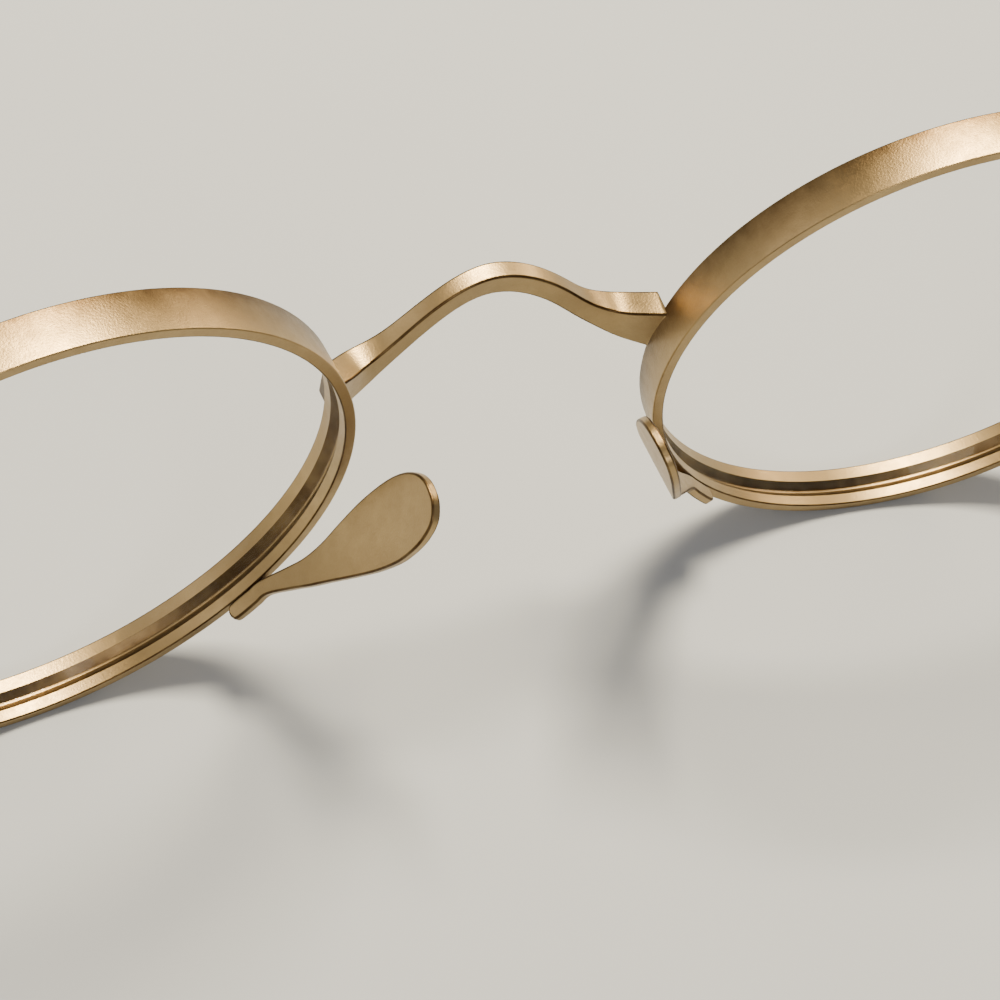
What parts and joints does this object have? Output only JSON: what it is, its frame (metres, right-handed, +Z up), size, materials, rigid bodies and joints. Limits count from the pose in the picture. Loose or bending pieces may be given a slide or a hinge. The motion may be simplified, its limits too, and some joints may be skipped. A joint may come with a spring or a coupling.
{
  "type": "round wire eyeglasses",
  "caption": "Round wire eyeglasses: deep grooved metal rims, arched metal bridge, flat metal nose pads, screw-closed rims and folding temples with dark tips.",
  "frame": {"origin": "on the ground plane, under the middle of the whole eyeglasses with the temples open", "axes": "+Z up; +Y back along the open temples, so the front faces -Y; +X to the wearer's left"},
  "size_m": [0.1366, 0.1588, 0.046],
  "materials": {
    "gold_metal": "satin antique gold",
    "screw_steel": "satin",
    "washer_nylon": "matte",
    "tip_acetate": "gloss",
    "lens": "clear, gloss"
  },
  "bodies": {
    "front": {"rim_left": "gold_metal", "lens_left": "lens", "nose_pad_left": "gold_metal", "endpiece_left": "gold_metal", "closing_block_left": "gold_metal", "rim_lock_screw_left": "screw_steel", "hinge_front_leaf_left": "gold_metal", "hinge_screw_left": "screw_steel", "hinge_washer_upper_left": "washer_nylon", "hinge_washer_lower_left": "washer_nylon", "rim_right": "gold_metal", "lens_right": "lens", "nose_pad_right": "gold_metal", "endpiece_right": "gold_metal", "closing_block_right": "gold_metal", "rim_lock_screw_right": "screw_steel", "hinge_front_leaf_right": "gold_metal", "hinge_screw_right": "screw_steel", "hinge_washer_upper_right": "washer_nylon", "hinge_washer_lower_right": "washer_nylon", "bridge": "gold_metal"},
    "temple_left_body": {"hinge_temple_leaf_left": "gold_metal", "temple_left": "gold_metal", "temple_tip_left": "tip_acetate"},
    "temple_right_body": {"hinge_temple_leaf_right": "gold_metal", "temple_right": "gold_metal", "temple_tip_right": "tip_acetate"}
  },
  "joints": [
    {"name": "temple_left_fold", "type": "hinge", "parent": "front", "child": "temple_left_body", "pos_m": [0.065, -0.05876, 0.03052], "axis": [0, 0, 1], "range_deg": [0, 90]},
    {"name": "temple_right_fold", "type": "hinge", "parent": "front", "child": "temple_right_body", "pos_m": [-0.065, -0.05876, 0.03052], "axis": [0, 0, -1], "range_deg": [0, 85]}
  ]
}
